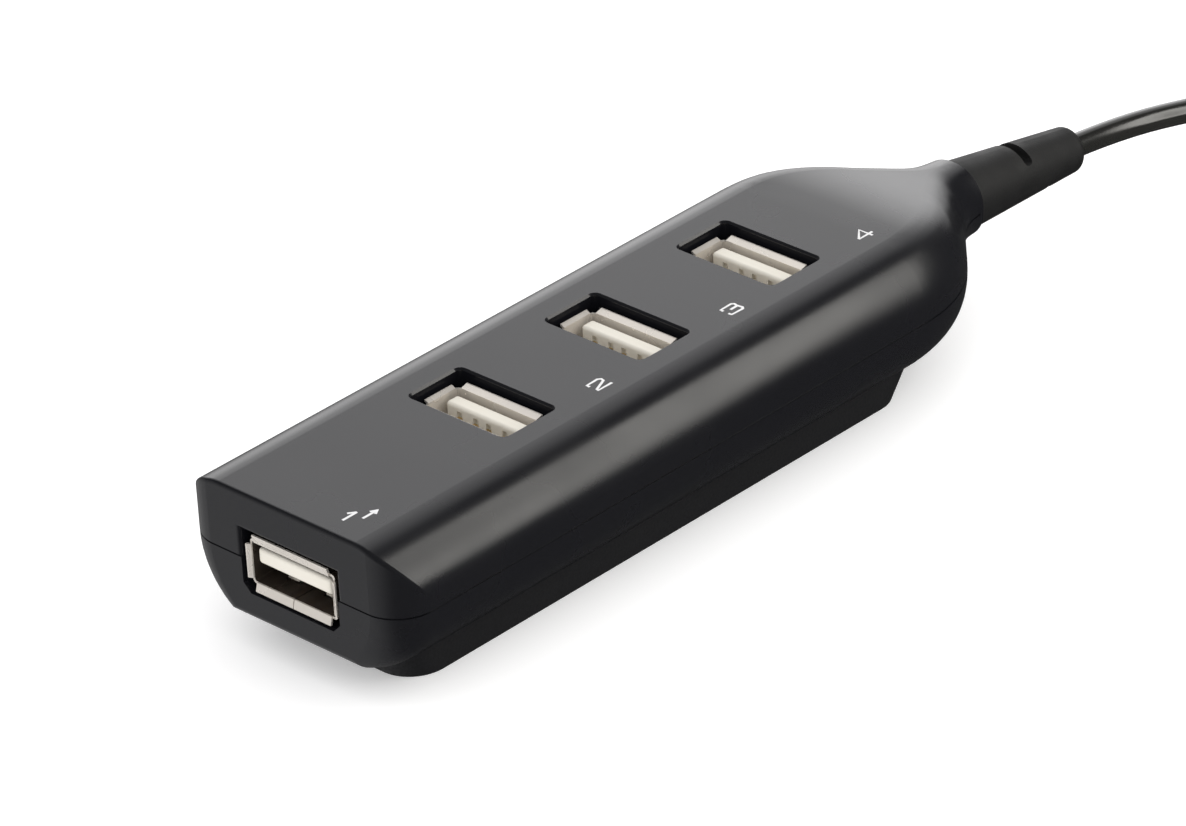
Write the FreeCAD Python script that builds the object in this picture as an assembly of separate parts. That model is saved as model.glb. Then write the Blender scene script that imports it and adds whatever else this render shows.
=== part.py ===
"""Four-port USB hub in the shape of a small power strip, on a thin cable with a USB-A plug.

Millimetres. X runs across the hub, Y from the front end (port 1) towards the cable, Z up.
The origin is on the standing surface, on the centre line, 55.8 mm behind the front end.
"""
import FreeCAD, Part
import math
import os
from FreeCAD import Vector

# ---- driving dimensions -------------------------------------------------------------------
FRONT = -55.8
BACK = 54.3               # end of the neck, where the rubber boot starts
CASE_WIDTH = 34.0
CASE_TOP = 20.4            # height of the flat top above the table
PARTING = 12.1             # height of the seam between the two case halves
BODY_BOTTOM = 4.4          # underside of the body, where the plinth starts
BOTTOM_WIDTH = 25.5        # width of the body at its underside
TOP_ROUND = 6.5            # radius of the two long top edges
WALL = 1.7
CORNER_ROUND = 5.0         # plan radius of the two front corners

TAPER_START = 29.9         # where the sides leave the straight and turn in to the neck
SHOULDER_RADIUS = 19.5
SHOULDER_TURN = math.radians(42.7)
THROAT_RADIUS = 9.1
NECK_RADIUS = 4.7
NECK_HEIGHT = 12.5         # height of the neck's middle

PORT_PITCH = 21.9
FIRST_TOP_PORT = 30.7      # centre of port 2 behind the front face
TOP_WINDOW = (14.8, 8.2)   # before its edge is broken
FRONT_WINDOW = (15.0, 7.9)
FRONT_CENTRE = 11.75       # height of the middle of port 1
MOUTH_DEPTH = 1.2          # how far the sockets' mouths sit below the top face
FRONT_BOTTOM_ROUND = 0.9
FRONT_EDGE_ROUND = 0.5
SEAM_GROOVE = 0.18         # depth of the fine line all round at the seam

BOARD_WIDTH = 19.6
BOARD_THICKNESS = 1.2
BOARD_TOP = 4.6
BOARD_FRONT = -46.5
BOARD_BACK = 28.5

CABLE_RADIUS = 1.5
BOOT_LENGTH = 20.2
BOOT_SIDE_SLOPE = 0.05     # the boot follows the cable, a little to the right and down
BOOT_DROP_SLOPE = 0.071

HALF = CASE_WIDTH / 2
TOP_PORTS = [FRONT + FIRST_TOP_PORT + k * PORT_PITCH for k in range(3)]
MOUTH_TOP = CASE_TOP - MOUTH_DEPTH
BOARD_BOTTOM = BOARD_TOP - BOARD_THICKNESS


# ---- small helpers ------------------------------------------------------------------------
def box(x0, x1, y0, y1, z0, z1):
    """A box between two opposite corners."""
    return Part.makeBox(x1 - x0, y1 - y0, z1 - z0, Vector(x0, y0, z0))


def rounded_box(x0, x1, y0, y1, z0, z1, radius, axis="z"):
    """A box whose four edges along one axis are rounded."""
    solid = box(x0, x1, y0, y1, z0, z1)
    picked = []
    for edge in solid.Edges:
        a, b = edge.Vertexes[0].Point, edge.Vertexes[1].Point
        if abs(getattr(a - b, axis)) > 1e-6:
            picked.append(edge)
    return solid.makeFillet(radius, picked)


def line(a, b):
    return Part.LineSegment(a, b).toShape()


def arc(a, middle, b):
    return Part.Arc(a, middle, b).toShape()


def polygon_prism(points, push):
    """A prism on a closed flat outline."""
    return Part.Face(Part.makePolygon(points + [points[0]])).extrude(push)


def cylinder_between(start, end, radius):
    return Part.makeCylinder(radius, (end - start).Length, start, end - start)


def joined(solids):
    """Several touching solids as one."""
    return solids[0].multiFuse(solids[1:]).removeSplitter()


def ease(t):
    """Smooth step from 0 to 1."""
    t = min(max(t, 0.0), 1.0)
    return t * t * (3 - 2 * t)


def export(name, shape):
    if not shape.isValid():
        print("NOT VALID:", name)
    count = len(shape.Solids)
    print(f"{name:28s} solids {count:3d}  volume {shape.Volume:10.2f}")
    shape.exportStep("parts/" + name + ".step")


# ---- the case: one outer form, hollowed, and parted at the seam ------------------------------
SHOULDER_X = HALF - SHOULDER_RADIUS * (1 - math.cos(SHOULDER_TURN))
SHOULDER_Y = TAPER_START + SHOULDER_RADIUS * math.sin(SHOULDER_TURN)
THROAT_X = NECK_RADIUS + THROAT_RADIUS * (1 - math.cos(SHOULDER_TURN))
FLANK = (SHOULDER_X - THROAT_X) / math.sin(SHOULDER_TURN)
THROAT_Y = SHOULDER_Y + FLANK * math.cos(SHOULDER_TURN)
NECK_START = THROAT_Y + THROAT_RADIUS * math.sin(SHOULDER_TURN)


def half_width(y):
    """Half the case's width: straight, rounded shoulder, short flank, hollow throat, neck."""
    if y <= TAPER_START:
        return HALF
    if y <= SHOULDER_Y:
        return HALF - SHOULDER_RADIUS + math.sqrt(SHOULDER_RADIUS ** 2 - (y - TAPER_START) ** 2)
    if y <= THROAT_Y:
        return SHOULDER_X - (y - SHOULDER_Y) * math.tan(SHOULDER_TURN)
    if y <= NECK_START:
        return NECK_RADIUS + THROAT_RADIUS - math.sqrt(THROAT_RADIUS ** 2 - (NECK_START - y) ** 2)
    return NECK_RADIUS


def top_height(y):
    return CASE_TOP - (CASE_TOP - NECK_HEIGHT - NECK_RADIUS) * ease((y - 33.0) / 24.0)


def bottom_height(y):
    return BODY_BOTTOM + (NECK_HEIGHT - NECK_RADIUS - BODY_BOTTOM) * ease((y - 44.0) / 8.0)


def bottom_half_width(y):
    tuck = (CASE_WIDTH - BOTTOM_WIDTH) / 2
    blend = ease((y - 41.8) / 10.8)
    return (half_width(y) - tuck) * (1 - blend) + 0.25 * blend


def lower_side_arc(w, wb, z_bottom):
    """Radius of the arc that leaves the seam upright and ends at the underside's edge."""
    rise = PARTING - z_bottom
    return ((w - wb) ** 2 + rise ** 2) / (2 * (w - wb))


def case_section(y, inset):
    """The case's outline across Y: flat top, round top edges, sides that tuck in underneath."""
    w = half_width(y) - inset
    wb = max(bottom_half_width(y) - inset, 0.2)
    z_top = top_height(y) - inset
    z_bottom = bottom_height(y) + inset
    r = min(TOP_ROUND - inset, w - 0.25, z_top - PARTING - 0.4)
    big = lower_side_arc(w, wb, z_bottom)
    mid_angle = math.atan2(w - wb, PARTING - z_bottom)
    mid_x = w - big + big * math.cos(mid_angle)
    mid_z = PARTING - big * math.sin(mid_angle)
    k = r * (1 - math.sqrt(0.5))

    def p(x, z):
        return Vector(x, y, z)

    edges = [
        line(p(-wb, z_bottom), p(wb, z_bottom)),
        arc(p(wb, z_bottom), p(mid_x, mid_z), p(w, PARTING)),
        line(p(w, PARTING), p(w, z_top - r)),
        arc(p(w, z_top - r), p(w - k, z_top - k), p(w - r, z_top)),
        line(p(w - r, z_top), p(-w + r, z_top)),
        arc(p(-w + r, z_top), p(-w + k, z_top - k), p(-w, z_top - r)),
        line(p(-w, z_top - r), p(-w, PARTING)),
        arc(p(-w, PARTING), p(-mid_x, mid_z), p(-wb, z_bottom)),
    ]
    return Part.Wire(edges)


def corner_cutter(inset, side):
    """What is taken off one front corner so that its plan radius is the same at every height."""
    radius = CORNER_ROUND - inset
    front = FRONT + inset
    w = HALF - inset
    z_bottom = BODY_BOTTOM + inset
    big = lower_side_arc(w, BOTTOM_WIDTH / 2 - inset, z_bottom)
    nudge = 0.01

    def outline(z):
        drop = max(PARTING - z, 0.0)
        x = w - big + math.sqrt(big ** 2 - drop ** 2)
        cx = x - radius + nudge
        cy = front + radius - nudge
        s = radius * math.sqrt(0.5)

        def p(px, py):
            return Vector(side * px, py, z)

        return Part.Wire([
            arc(p(cx, cy - radius), p(cx + s, cy - s), p(cx + radius, cy)),
            line(p(cx + radius, cy), p(x + 2, cy)),
            line(p(x + 2, cy), p(x + 2, front - 2)),
            line(p(x + 2, front - 2), p(cx, front - 2)),
            line(p(cx, front - 2), p(cx, cy - radius)),
        ])

    steps = 6
    low = z_bottom - 0.2
    heights = [low + (PARTING - low) * k / steps for k in range(steps + 1)]
    lower = Part.makeLoft([outline(z) for z in heights], True, False)
    upper = Part.Face(outline(PARTING)).extrude(Vector(0, 0, CASE_TOP - PARTING + 2))
    return [lower, upper]


def case_form(inset):
    """The whole case as one solid, or its hollow when inset by the wall."""
    start = FRONT + inset
    straight = Part.Face(case_section(start, inset)).extrude(Vector(0, TAPER_START - start, 0))
    stations = [TAPER_START + 1.8 * k for k in range(7)]
    stations += [stations[-1] + 1.5 * k for k in range(1, 9)]
    stations += [BACK - 0.8 + inset, BACK + inset]
    taper = Part.makeLoft([case_section(y, inset) for y in stations], True, False)
    for side in (1, -1):
        for cutter in corner_cutter(inset, side):
            straight = straight.cut(cutter)
    return straight.fuse(taper)


PLINTH_FRONT = -49.7
PLINTH_BACK = 32.1
PLINTH_HALF = 11.85


def rounded_outline(x0, x1, y0, y1, z, r):
    """A level rectangle with rounded corners."""
    s = r * (1 - math.sqrt(0.5))

    def p(x, y):
        return Vector(x, y, z)

    return Part.Wire([
        line(p(x0 + r, y0), p(x1 - r, y0)),
        arc(p(x1 - r, y0), p(x1 - s, y0 + s), p(x1, y0 + r)),
        line(p(x1, y0 + r), p(x1, y1 - r)),
        arc(p(x1, y1 - r), p(x1 - s, y1 - s), p(x1 - r, y1)),
        line(p(x1 - r, y1), p(x0 + r, y1)),
        arc(p(x0 + r, y1), p(x0 + s, y1 - s), p(x0, y1 - r)),
        line(p(x0, y1 - r), p(x0, y0 + r)),
        arc(p(x0, y0 + r), p(x0 + s, y0 + s), p(x0 + r, y0)),
    ])


def plinth(inset, z_low, z_high):
    """The stepped base: a rounded slab whose two ends lean in towards the table."""
    def outline(z):
        share = z / BODY_BOTTOM
        w = PLINTH_HALF + 0.25 * share - inset
        y0 = PLINTH_FRONT - 1.6 * share + inset
        y1 = PLINTH_BACK + 3.0 * share - inset
        return rounded_outline(-w, w, y0, y1, z, 4.6 - inset)

    return Part.makeLoft([outline(z_low), outline(z_high)], True, True)


def top_window(y):
    """The hole in the top for one upright socket."""
    w, d = TOP_WINDOW[0] / 2, TOP_WINDOW[1] / 2
    return rounded_box(-w, w, y - d, y + d, PARTING + 3, CASE_TOP + 2, 0.7)


def window_bevel(y):
    """What breaks that hole's edge at the surface."""
    w, d = TOP_WINDOW[0] / 2 - 0.05, TOP_WINDOW[1] / 2 - 0.05
    low = rounded_outline(-w, w, y - d, y + d, CASE_TOP - 0.3, 0.65)
    high = rounded_outline(-w - 0.35, w + 0.35, y - d - 0.35, y + d + 0.35, CASE_TOP + 0.05, 1.0)
    return Part.makeLoft([low, high], True, True)


def front_window():
    """The opening for port 1, half in each case half, with cut lower corners."""
    w, h = FRONT_WINDOW[0] / 2, FRONT_WINDOW[1] / 2
    points = [(-w, h), (w, h), (w, 1.1 - h), (w - 1.1, -h), (1.1 - w, -h), (-w, 1.1 - h)]
    corners = [Vector(x, FRONT - 1, FRONT_CENTRE + z) for x, z in points]
    return polygon_prism(corners, Vector(0, WALL + 2, 0))


def board_posts():
    """Two posts in the base that the board is screwed to, and four ledges under its edges."""
    posts = []
    for y in SCREW_PLACES:
        post = Part.makeCylinder(2.4, BOARD_BOTTOM - 1.0, Vector(0, y, 1.0))
        posts.append(post.cut(Part.makeCylinder(0.75, BOARD_BOTTOM, Vector(0, y, 1.3))))
    for x in (-1, 1):
        for y in (-30.0, 8.0):
            posts.append(box(x * 9.6 - 1.3, x * 9.6 + 1.3, y - 2, y + 2, 1.0, BOARD_BOTTOM))
    return posts


SCREW_PLACES = (-36.0, 26.0)
RIM = 0.8                  # the tongue that locates the two halves on each other
RIM_HEIGHT = 1.2


def seam_rim(slack):
    """The rim inside the seam that locates the two halves, as long as the wide part of the case."""
    ring = case_form(WALL - RIM - slack).cut(case_form(WALL))
    ends = BACK - 8.0 + slack
    return ring.common(box(-HALF, HALF, FRONT, ends, PARTING, PARTING + RIM_HEIGHT + slack))


def seam_groove(outer):
    """A fine line all round the case, cut half into each half along the seam."""
    slab = outer.common(box(-40, 40, -80, BACK - 0.6, PARTING - 0.1, PARTING + 0.1))
    core = case_form(SEAM_GROOVE).common(box(-40, 40, -80, 80, PARTING - 0.4, PARTING + 0.4))
    return slab.cut(core)


def front_edges(half, radius, lowest, highest):
    """Rounds those edges of the front face whose lower end lies in a band of heights."""
    rim = [e for e in half.Edges if e.BoundBox.YMax < FRONT + 0.01 and e.BoundBox.ZMax < highest]
    return half.makeFillet(radius, [e for e in rim if e.BoundBox.ZMax > lowest])


def make_case():
    outer = case_form(0)
    hollow = case_form(WALL)
    groove = seam_groove(outer)
    outer = front_edges(outer, FRONT_BOTTOM_ROUND, 0, BODY_BOTTOM + 0.01)
    half_space = box(-40, 40, -80, 80, PARTING, 40)
    lower_space = box(-40, 40, -80, 80, -5, PARTING)

    upper = outer.common(half_space).cut(hollow).cut(front_window())
    for y in TOP_PORTS:
        w, d = TOP_WINDOW[0] / 2, TOP_WINDOW[1] / 2
        frame = box(-w - 1.2, w + 1.2, y - d - 1.2, y + d + 1.2, CASE_TOP - 4.2, CASE_TOP - WALL + 0.2)
        upper = upper.cut(top_window(y))
        upper = upper.fuse(frame.cut(top_window(y)))
        upper = upper.cut(window_bevel(y))
    upper = upper.cut(seam_rim(0.05)).cut(groove)
    upper = front_edges(upper, FRONT_EDGE_ROUND, PARTING + 0.15, 40)

    lower = outer.fuse(plinth(0, 0, BODY_BOTTOM + 0.3)).common(lower_space).cut(groove).cut(hollow)
    lower = lower.cut(plinth(WALL, 1.5, BODY_BOTTOM + 2.2)).cut(front_window())
    lower = joined([lower, seam_rim(0.0).cut(front_window())] + board_posts())
    return upper, lower


# ---- one USB-A socket, mouth upwards at the origin, tongue on the +Y side ---------------------
SHELL_OUT = (13.1, 5.7)
SHELL_SHEET = 0.3
SHELL_IN = (SHELL_OUT[0] - 2 * SHELL_SHEET, SHELL_OUT[1] - 2 * SHELL_SHEET)
LIP_HEIGHT = 0.45
TONGUE = (11.3, 1.95)
TONGUE_LOW_Y = SHELL_IN[1] / 2 - 0.75 - TONGUE[1]
TONGUE_TOP = -0.6
BASE_HEIGHT = 4.6
CONTACT_X = (-3.5, -1.0, 1.0, 3.5)
CONTACT = (1.0, 0.25)


def lip(length, wall_face, reach):
    """One flared lip along X, standing on the wall whose outer face is at +wall_face."""
    y = wall_face
    profile = [(y - SHELL_SHEET, -LIP_HEIGHT), (y, -LIP_HEIGHT), (y + reach, -0.25),
               (y + reach, 0), (y + reach - 0.15, 0), (y - SHELL_SHEET, -LIP_HEIGHT + 0.2)]
    points = [Vector(-length / 2, py, pz) for py, pz in profile]
    return polygon_prism(points, Vector(length, 0, 0))


def spring_finger(x, bulge):
    """A retention finger pressed out of the wall at -Y: it leans into the mouth and out again."""
    y = -SHELL_IN[1] / 2
    t = SHELL_SHEET
    profile = [(y - t, -8.6), (y, -8.6), (y + bulge, -4.3), (y + bulge - 0.08, -3.9), (y + 0.12, -3.1),
               (y + 0.12 - t, -3.1), (y + bulge - t, -4.2)]
    points = [Vector(x - 0.85, py, pz) for py, pz in profile]
    return polygon_prism(points, Vector(1.7, 0, 0))


def socket_shell(depth):
    """The stamped and folded shell, open at the mouth, with its seam opposite the tongue."""
    w, d = SHELL_OUT[0] / 2, SHELL_OUT[1] / 2
    wi, di = SHELL_IN[0] / 2, SHELL_IN[1] / 2
    tube = rounded_box(-w, w, -d, d, -depth, -LIP_HEIGHT, 0.5)
    tube = tube.cut(rounded_box(-wi, wi, -di, di, -depth - 1, 1, 0.25))
    for side in (1, -1):
        for x in (-2.95, 2.95):
            slot = box(x - 1.05, x + 1.05, -d - 0.1, -d + 0.5, -8.6, -2.9)
            tube = tube.cut(slot.mirror(Vector(0, 0, 0), Vector(0, 1, 0)) if side < 0 else slot)
    pieces = [tube]
    for x in (-2.95, 2.95):
        pieces.append(spring_finger(x, 0.95))
        pieces.append(spring_finger(x, 0.35).mirror(Vector(0, 0, 0), Vector(0, 1, 0)))
    long_lip = lip(11.6, d, 0.75)
    short_lip = lip(4.3, w, 0.35)
    short_lip.rotate(Vector(0, 0, 0), Vector(0, 0, 1), -90)
    pieces += [long_lip, long_lip.mirror(Vector(0, 0, 0), Vector(0, 1, 0))]
    pieces += [short_lip, short_lip.mirror(Vector(0, 0, 0), Vector(1, 0, 0))]
    shell = joined(pieces)
    return shell.cut(box(-0.06, 0.06, -d - 2, -di + 0.2, -depth - 1, 1))


def contact_strips(bottom, grow):
    """The four contacts' strips along the tongue, with room around them when grow is given."""
    strips = []
    for x in CONTACT_X:
        y = TONGUE_LOW_Y
        strips.append(box(x - CONTACT[0] / 2 - grow, x + CONTACT[0] / 2 + grow,
                          y - 0.08 - grow, y + CONTACT[1] + grow, bottom, TONGUE_TOP - 1.5))
    return strips


def socket_insulator(depth):
    """The moulded block in the shell's rear and the tongue that stands up from it."""
    wi, di = SHELL_IN[0] / 2 - 0.05, SHELL_IN[1] / 2 - 0.05
    block = box(-wi, wi, -di, di, -depth, -depth + BASE_HEIGHT)
    tongue = box(-TONGUE[0] / 2, TONGUE[0] / 2, TONGUE_LOW_Y, TONGUE_LOW_Y + TONGUE[1],
                 -depth + BASE_HEIGHT - 1, TONGUE_TOP)
    rim = [e for e in tongue.Edges if min(v.Z for v in e.Vertexes) > TONGUE_TOP - 0.01]
    sides = [e for e in tongue.Edges if abs(e.Vertexes[0].Z - e.Vertexes[1].Z) > 1]
    tongue = tongue.makeFillet(0.45, rim + sides)
    body = joined([block, tongue])
    for groove in contact_strips(-depth - 1, 0.0):
        body = body.cut(groove)
    for x in CONTACT_X:
        body = body.cut(box(x - 0.4, x + 0.4, TONGUE_LOW_Y - 0.1, TONGUE_LOW_Y + 0.5,
                            TONGUE_TOP - 1.5, TONGUE_TOP - 0.7))
    return body


def shell_legs(depth, reach):
    """Four solder legs that carry on from the shell's side walls through the board."""
    legs = []
    for side in (1, -1):
        x = side * (SHELL_OUT[0] / 2 - SHELL_SHEET / 2)
        for y in (-1.5, 1.5):
            legs.append(box(x - 0.15, x + 0.15, y - 0.45, y + 0.45, -depth - reach, -depth + 0.5))
    return legs


def top_socket(y):
    """An upright socket on the board: shell, insulator and four contacts."""
    depth = MOUTH_TOP - BOARD_TOP
    reach = BOARD_THICKNESS + 0.5
    shell = joined([socket_shell(depth)] + shell_legs(depth, reach))
    insulator = socket_insulator(depth)
    contacts = contact_strips(-depth - reach, 0.0)
    place = Vector(0, y, MOUTH_TOP)
    for shape in [shell, insulator] + contacts:
        shape.translate(place)
    return shell, insulator, contacts


FRONT_DEPTH = 14.4
FRONT_MOUTH = FRONT + 0.2


def lay_forward(shape):
    """Turn a socket so that its mouth looks out of the front and its tongue is on top."""
    shape.rotate(Vector(0, 0, 0), Vector(1, 0, 0), 90)
    shape.translate(Vector(0, FRONT_MOUTH, FRONT_CENTRE))
    return shape


def front_socket():
    """The level socket of port 1, on a raised foot so that its contacts reach the board."""
    shell = lay_forward(socket_shell(FRONT_DEPTH))
    back = FRONT_MOUTH + FRONT_DEPTH
    low = FRONT_CENTRE - SHELL_OUT[1] / 2
    legs = []
    for side in (1, -1):
        x = side * (SHELL_OUT[0] / 2 - SHELL_SHEET / 2)
        legs.append(box(x - 0.15, x + 0.15, back - 3.4, back - 1.6, BOARD_BOTTOM - 0.5, low + 1.5))
    shell = joined([shell] + legs)

    contacts = [lay_forward(strip) for strip in contact_strips(-FRONT_DEPTH + 1.0, 0.0)]
    tails = []
    for x, strip in zip(CONTACT_X, contacts):
        z_top = strip.BoundBox.ZMax
        y_back = strip.BoundBox.YMax
        tail = box(x - 0.5, x + 0.5, y_back - CONTACT[1], y_back, BOARD_BOTTOM - 0.5, z_top)
        tails.append(joined([strip, tail]))

    body = lay_forward(socket_insulator(FRONT_DEPTH))
    foot = box(-5.6, 5.6, back - BASE_HEIGHT + 0.4, back - 0.6, BOARD_TOP, low + 0.6)
    body = joined([body, foot])
    window = box(-5.65, 5.65, back - BASE_HEIGHT + 0.3, back + 1, low - 0.1, low + 0.45)
    shell = shell.cut(window)
    for tail in tails:
        body = body.cut(tail)
    return shell, body, tails


# ---- the board and what is soldered to it ----------------------------------------------------
def make_board():
    half = BOARD_WIDTH / 2
    board = rounded_box(-half, half, BOARD_FRONT, BOARD_BACK, BOARD_BOTTOM, BOARD_TOP, 1.5)
    holes = []
    for y in SCREW_PLACES:
        holes.append(Part.makeCylinder(1.15, 4, Vector(0, y, BOARD_BOTTOM - 1)))
    for y in TOP_PORTS:
        for side in (1, -1):
            x = side * (SHELL_OUT[0] / 2 - SHELL_SHEET / 2)
            for dy in (-1.5, 1.5):
                holes.append(box(x - 0.3, x + 0.3, y + dy - 0.6, y + dy + 0.6, BOARD_BOTTOM - 1, BOARD_TOP + 1))
        for x in CONTACT_X:
            yc = y + TONGUE_LOW_Y + 0.085
            holes.append(box(x - 0.62, x + 0.62, yc - 0.3, yc + 0.3, BOARD_BOTTOM - 1, BOARD_TOP + 1))
    back = FRONT_MOUTH + FRONT_DEPTH
    for side in (1, -1):
        x = side * (SHELL_OUT[0] / 2 - SHELL_SHEET / 2)
        holes.append(box(x - 0.3, x + 0.3, back - 3.55, back - 1.45, BOARD_BOTTOM - 1, BOARD_TOP + 1))
    for x in CONTACT_X:
        holes.append(box(x - 0.62, x + 0.62, back - 1.45, back - 0.8, BOARD_BOTTOM - 1, BOARD_TOP + 1))
    for hole in holes:
        board = board.cut(hole)
    return board


def chip(x, y, width, length, height, pins, pitch, lead):
    """A moulded chip with gull-wing leads along its two long sides."""
    body = box(x - width / 2, x + width / 2, y - length / 2, y + length / 2,
               BOARD_TOP + 0.15, BOARD_TOP + height)
    leads = []
    for side in (1, -1):
        for k in range(pins // 2):
            yy = y + (k - (pins // 2 - 1) / 2) * pitch
            edge = x + side * width / 2
            profile = [(0, 0.9), (0.5, 0.9), (0.6, 0.15), (lead, 0.15), (lead, 0), (0.45, 0), (0.35, 0.75), (0, 0.75)]
            points = [Vector(edge + side * px, yy - 0.11, BOARD_TOP + pz) for px, pz in profile]
            leads.append(polygon_prism(points, Vector(0, 0.22, 0)))
    return body, leads


def small_parts(places, size):
    """Identical small chip parts as separate solids, each a block with two end caps."""
    solids = []
    for x, y in places:
        solids.append(box(x - size[0] / 2, x + size[0] / 2, y - size[1] / 2, y + size[1] / 2,
                          BOARD_TOP, BOARD_TOP + size[2]))
    return solids


def crystal_can(x, y):
    """A flat metal crystal can standing on its rim."""
    r = 1.9
    outline = Part.Wire([
        line(Vector(x - 3.2, y - r, BOARD_TOP), Vector(x + 3.2, y - r, BOARD_TOP)),
        arc(Vector(x + 3.2, y - r, BOARD_TOP), Vector(x + 3.2 + r, y, BOARD_TOP), Vector(x + 3.2, y + r, BOARD_TOP)),
        line(Vector(x + 3.2, y + r, BOARD_TOP), Vector(x - 3.2, y + r, BOARD_TOP)),
        arc(Vector(x - 3.2, y + r, BOARD_TOP), Vector(x - 3.2 - r, y, BOARD_TOP), Vector(x - 3.2, y - r, BOARD_TOP)),
    ])
    can = Part.Face(outline).extrude(Vector(0, 0, 3.4))
    top = [e for e in can.Edges if min(v.Z for v in e.Vertexes) > BOARD_TOP + 3]
    return can.makeFillet(0.5, top)


def case_screw(y):
    """A small pan-head screw that holds the board down on its post."""
    head = Part.makeCylinder(1.9, 1.1, Vector(0, y, BOARD_TOP))
    head = head.makeFillet(0.4, [e for e in head.Edges if e.BoundBox.ZMin > BOARD_TOP + 1])
    slots = [box(-0.25, 0.25, y - 1.1, y + 1.1, BOARD_TOP + 0.6, BOARD_TOP + 2),
             box(-1.1, 1.1, y - 0.25, y + 0.25, BOARD_TOP + 0.6, BOARD_TOP + 2)]
    for slot in slots:
        head = head.cut(slot)
    shank = Part.makeCylinder(0.72, BOARD_TOP - 1.4, Vector(0, y, 1.4))
    return head.fuse(shank).removeSplitter()


# ---- cable, boot, coil and plug ---------------------------------------------------------------
NECK_CENTRE = Vector(0, BACK, NECK_HEIGHT)
BOOT_AXIS = Vector(BOOT_SIDE_SLOPE, 1, -BOOT_DROP_SLOPE).normalize()
BOOT_TIP = NECK_CENTRE + BOOT_AXIS * BOOT_LENGTH


def along_boot(t):
    return NECK_CENTRE + BOOT_AXIS * t


def make_boot():
    """The rubber strain relief: a grooved root held by the neck and a tapered sleeve outside it."""
    sleeve = Part.makeCone(4.4, 2.85, BOOT_LENGTH, NECK_CENTRE, BOOT_AXIS)
    far_rim = [e for e in sleeve.Edges if e.Closed and e.BoundBox.YMin > BACK + 10]
    sleeve = sleeve.makeFillet(1.0, far_rim)
    sleeve = sleeve.common(box(-20, 20, BACK, 100, -5, 40))
    root = Part.makeCylinder(2.95, 7.6, Vector(0, BACK - 7.4, NECK_HEIGHT), Vector(0, 1, 0))
    flange = Part.makeCylinder(4.2, 2.0, Vector(0, BACK - 9.2, NECK_HEIGHT), Vector(0, 1, 0))
    boot = joined([sleeve, root, flange])
    boot = boot.cut(cylinder_between(along_boot(-14), along_boot(BOOT_LENGTH + 1), CABLE_RADIUS))
    # one cross slot through the top and one through the bottom let the sleeve flex
    for t, turned in ((10.0, 0), (14.0, 180)):
        slot = rounded_box(-6, 6, -0.7, 0.7, 2.0, 6.0, 0.6, axis="x")
        slot.rotate(Vector(0, 0, 0), Vector(0, 1, 0), turned)
        slot.translate(along_boot(t))
        boot = boot.cut(slot)
    return boot


def tube_along(points, radius):
    """A round tube on straight runs joined by tangent arcs, and the arcs' radii."""
    edges = []
    radii = []
    here = points[0]
    for before, corner, after in zip(points, points[1:], points[2:]):
        run_in = corner - before
        run_out = after - corner
        turn = run_in.getAngle(run_out)
        reach = 0.45 * min(run_in.Length, run_out.Length)
        r = reach / math.tan(turn / 2)
        radii.append(r)
        way_in = run_in * (1 / run_in.Length)
        way_out = run_out * (1 / run_out.Length)
        start = corner - way_in * reach
        end = corner + way_out * reach
        inward = way_out - way_in
        inward.normalize()
        middle = corner + inward * (r / math.cos(turn / 2) - r)
        edges.append(line(here, start))
        edges.append(arc(start, middle, end))
        here = end
    edges.append(line(here, points[-1]))
    path = Part.Wire(edges)
    disc = Part.Wire([Part.Circle(points[0], points[1] - points[0], radius).toShape()])
    tube = path.makePipeShell([disc], True, False)
    share = tube.Volume / (math.pi * radius ** 2 * path.Length)
    smallest = min(radii)
    print(f"tube length {path.Length:7.2f}  smallest bend {smallest:6.1f}  volume share {share:.4f}")
    return tube, path.Length


# the cable: out of the boot, down to the table, wound into a flat coil, then up to its plug
COIL_CENTRE = Vector(-7.5, 145.0, 0)
OUTER_TURN = 21.0          # the lower row winds inwards from here, a diameter each turn
INNER_TURN = 12.0
LOWER_TURNS = 3.0
UPPER_START = 13.5         # the upper row winds outwards again
LAST_TURN = 18.0
UPPER_TURNS = 1.5
UPPER_ROW = 4.5            # height of the upper row's middle
COIL_HEIGHT = UPPER_ROW + CABLE_RADIUS
PLUG_AXIS_HEIGHT = COIL_HEIGHT + 4.0
CABLE_ROUTE = [
    BOOT_TIP,
    BOOT_TIP + BOOT_AXIS * 9.0,
    Vector(4.4, 95.5, 9.1),
    Vector(6.7, 106.5, 6.9),
    Vector(8.9, 117.0, 3.9),
    Vector(11.1, 128.0, 1.9),
    Vector(COIL_CENTRE.x + OUTER_TURN, COIL_CENTRE.y, CABLE_RADIUS),
]


def coil_point(turns, radius, z):
    """A point of the coil, which is entered on its right side and wound anticlockwise."""
    angle = 2 * math.pi * turns
    return COIL_CENTRE + Vector(radius * math.cos(angle), radius * math.sin(angle), z)


# the end climbs off the upper row on to the coil, where the plug lies on its flat side
PLUG_START = COIL_CENTRE + Vector(14.8, 1.0, PLUG_AXIS_HEIGHT)
TAIL_ROUTE = [
    coil_point(0.42, 17.9, UPPER_ROW),
    coil_point(0.49, 18.1, UPPER_ROW + 0.4),
    coil_point(0.56, 17.8, UPPER_ROW + 1.6),
    coil_point(0.63, 17.3, UPPER_ROW + 2.9),
    coil_point(0.70, 17.0, UPPER_ROW + 3.9),
    coil_point(0.77, 17.0, UPPER_ROW + 4.7),
    coil_point(0.84, 17.0, UPPER_ROW + 5.2),
    COIL_CENTRE + Vector(13.4, -10.0, PLUG_AXIS_HEIGHT - 0.1),
    COIL_CENTRE + Vector(14.7, -4.6, PLUG_AXIS_HEIGHT),
    PLUG_START,
]


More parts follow.
